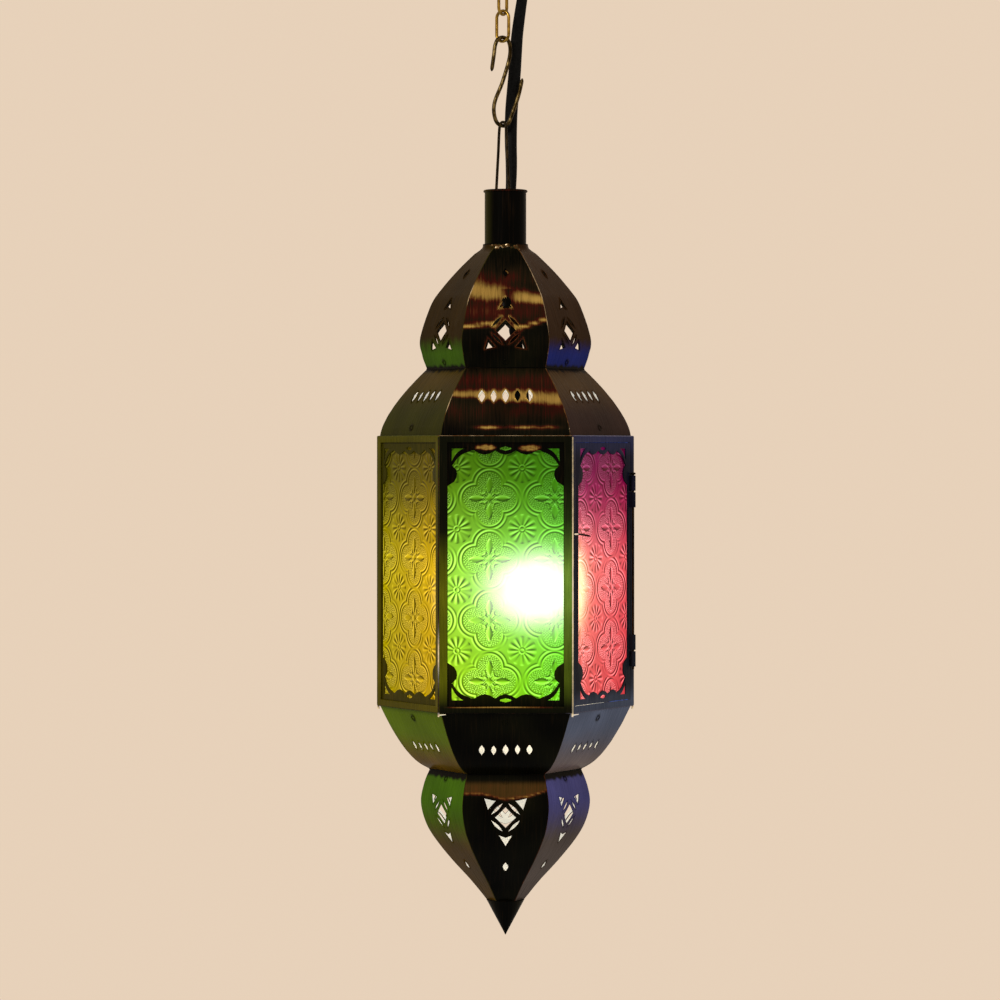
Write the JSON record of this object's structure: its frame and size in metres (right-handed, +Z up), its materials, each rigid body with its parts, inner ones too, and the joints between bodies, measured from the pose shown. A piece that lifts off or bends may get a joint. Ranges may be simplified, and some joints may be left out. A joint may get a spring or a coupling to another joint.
{
  "type": "hanging lantern",
  "caption": "Hanging hexagonal lantern with pierced onion-shaped tiers, coloured figured glass panes, a hinged door and a bulb inside, on a short chain with its cord.",
  "frame": {"origin": "on the ceiling, at the middle of the mounting plate's flat top, above the lantern's axis", "axes": "+Z up out of the ceiling face, +X to the right and +Y away from a viewer in front of the lantern"},
  "size_m": [0.1709, 0.1472, 0.6661],
  "materials": {
    "lacquered_metal": "near-black brown antique lacquer over brushed sheet metal, rubbed to gold on bellies and edges",
    "aged_brass": "dull gold wire, darkened in the bends",
    "dark_wire": "dark antiqued wire",
    "black_cord": "soft black cord sheath, satin",
    "black_plastic": "black moulded phenolic",
    "bulb_cap_metal": "bright rolled thread",
    "lit_bulb": "frosted glass, lit warm white",
    "glass_green": "pressed figured glass, green, lit from behind",
    "glass_amber": "pressed figured glass, amber, lit from behind",
    "glass_red": "pressed figured glass, pink red, lit from behind",
    "glass_blue": "pressed figured glass, blue, lit from behind",
    "glass_orange": "pressed figured glass, orange, lit from behind"
  },
  "bodies": {
    "ceiling_fitting": {"mounting_plate": "lacquered_metal", "canopy": "lacquered_metal", "terminal_block": "black_plastic", "mount_screw_front": "aged_brass", "mount_screw_back": "aged_brass", "ceiling_hook": "aged_brass"},
    "upper_link": {"link_1": "aged_brass"},
    "lower_link": {"link_2": "aged_brass"},
    "s_hook": {"s_hook": "aged_brass", "supply_cord": "black_cord"},
    "lantern": {"bail": "dark_wire", "neck_tube": "lacquered_metal", "hanger_plate": "lacquered_metal", "cord_grip": "black_plastic", "onion_panel_front": "lacquered_metal", "onion_panel_front_right": "lacquered_metal", "onion_panel_back_right": "lacquered_metal", "onion_panel_back": "lacquered_metal", "onion_panel_back_left": "lacquered_metal", "onion_panel_front_left": "lacquered_metal", "shoulder_panel_front": "lacquered_metal", "shoulder_panel_front_right": "lacquered_metal", "shoulder_panel_back_right": "lacquered_metal", "shoulder_panel_back": "lacquered_metal", "shoulder_panel_back_left": "lacquered_metal", "shoulder_panel_front_left": "lacquered_metal", "bowl_panel_front": "lacquered_metal", "bowl_panel_front_right": "lacquered_metal", "bowl_panel_back_right": "lacquered_metal", "bowl_panel_back": "lacquered_metal", "bowl_panel_back_left": "lacquered_metal", "bowl_panel_front_left": "lacquered_metal", "finial_panel_front": "lacquered_metal", "finial_panel_front_right": "lacquered_metal", "finial_panel_back_right": "lacquered_metal", "finial_panel_back": "lacquered_metal", "finial_panel_back_left": "lacquered_metal", "finial_panel_front_left": "lacquered_metal", "tip_cone": "lacquered_metal", "cage": "lacquered_metal", "door_pin": "dark_wire", "fret_front": "lacquered_metal", "glass_front": "glass_green", "fret_back_right": "lacquered_metal", "glass_back_right": "glass_blue", "fret_back": "lacquered_metal", "glass_back": "glass_orange", "fret_back_left": "lacquered_metal", "glass_back_left": "glass_green", "fret_front_left": "lacquered_metal", "glass_front_left": "glass_amber"},
    "door": {"door_frame": "lacquered_metal", "door_glass": "glass_red", "door_catch": "aged_brass"},
    "lampholder": {"inner_lead": "black_cord", "holder_cap": "black_plastic", "holder_body": "black_plastic"},
    "bulb": {"bulb_cap": "bulb_cap_metal", "bulb_glass": "lit_bulb"}
  },
  "joints": [
    {"name": "link_1_swing", "type": "hinge", "parent": "ceiling_fitting", "child": "upper_link", "pos_m": [-0.0018, 0, -0.0384], "axis": [0.8331, -0.5531, 0], "range_deg": [-9, 9]},
    {"name": "link_2_swing", "type": "hinge", "parent": "upper_link", "child": "lower_link", "pos_m": [-0.0018, 0, -0.0561], "axis": [0.5531, 0.8331, 0], "range_deg": [-9, 9]},
    {"name": "s_hook_swing", "type": "hinge", "parent": "lower_link", "child": "s_hook", "pos_m": [-0.0018, 0, -0.0738], "axis": [0.8331, -0.5531, 0], "range_deg": [-5, 5]},
    {"name": "lamp_turn", "type": "hinge", "parent": "s_hook", "child": "lantern", "pos_m": [-0.0018, 0, -0.1297], "axis": [0, 0, 1], "range_deg": [-20, 20]},
    {"name": "door_hinge", "type": "hinge", "parent": "lantern", "child": "door", "pos_m": [0.08424, -0.00551, -0.42525], "axis": [0, 0, 1], "range_deg": [0, 220]},
    {"name": "holder_swing", "type": "hinge", "parent": "lantern", "child": "lampholder", "pos_m": [0.0035, 0.0045, -0.20895], "axis": [0, -1, 0], "range_deg": [-16, 4], "stiffness_Nm_per_rad": 0.3, "springref_deg": 3.04},
    {"name": "bulb_unscrew", "type": "hinge", "parent": "lampholder", "child": "bulb", "pos_m": [0.0035, 0.0045, -0.20895], "axis": [0.0872, 0, -0.9962], "range_deg": [0, 1080]}
  ]
}
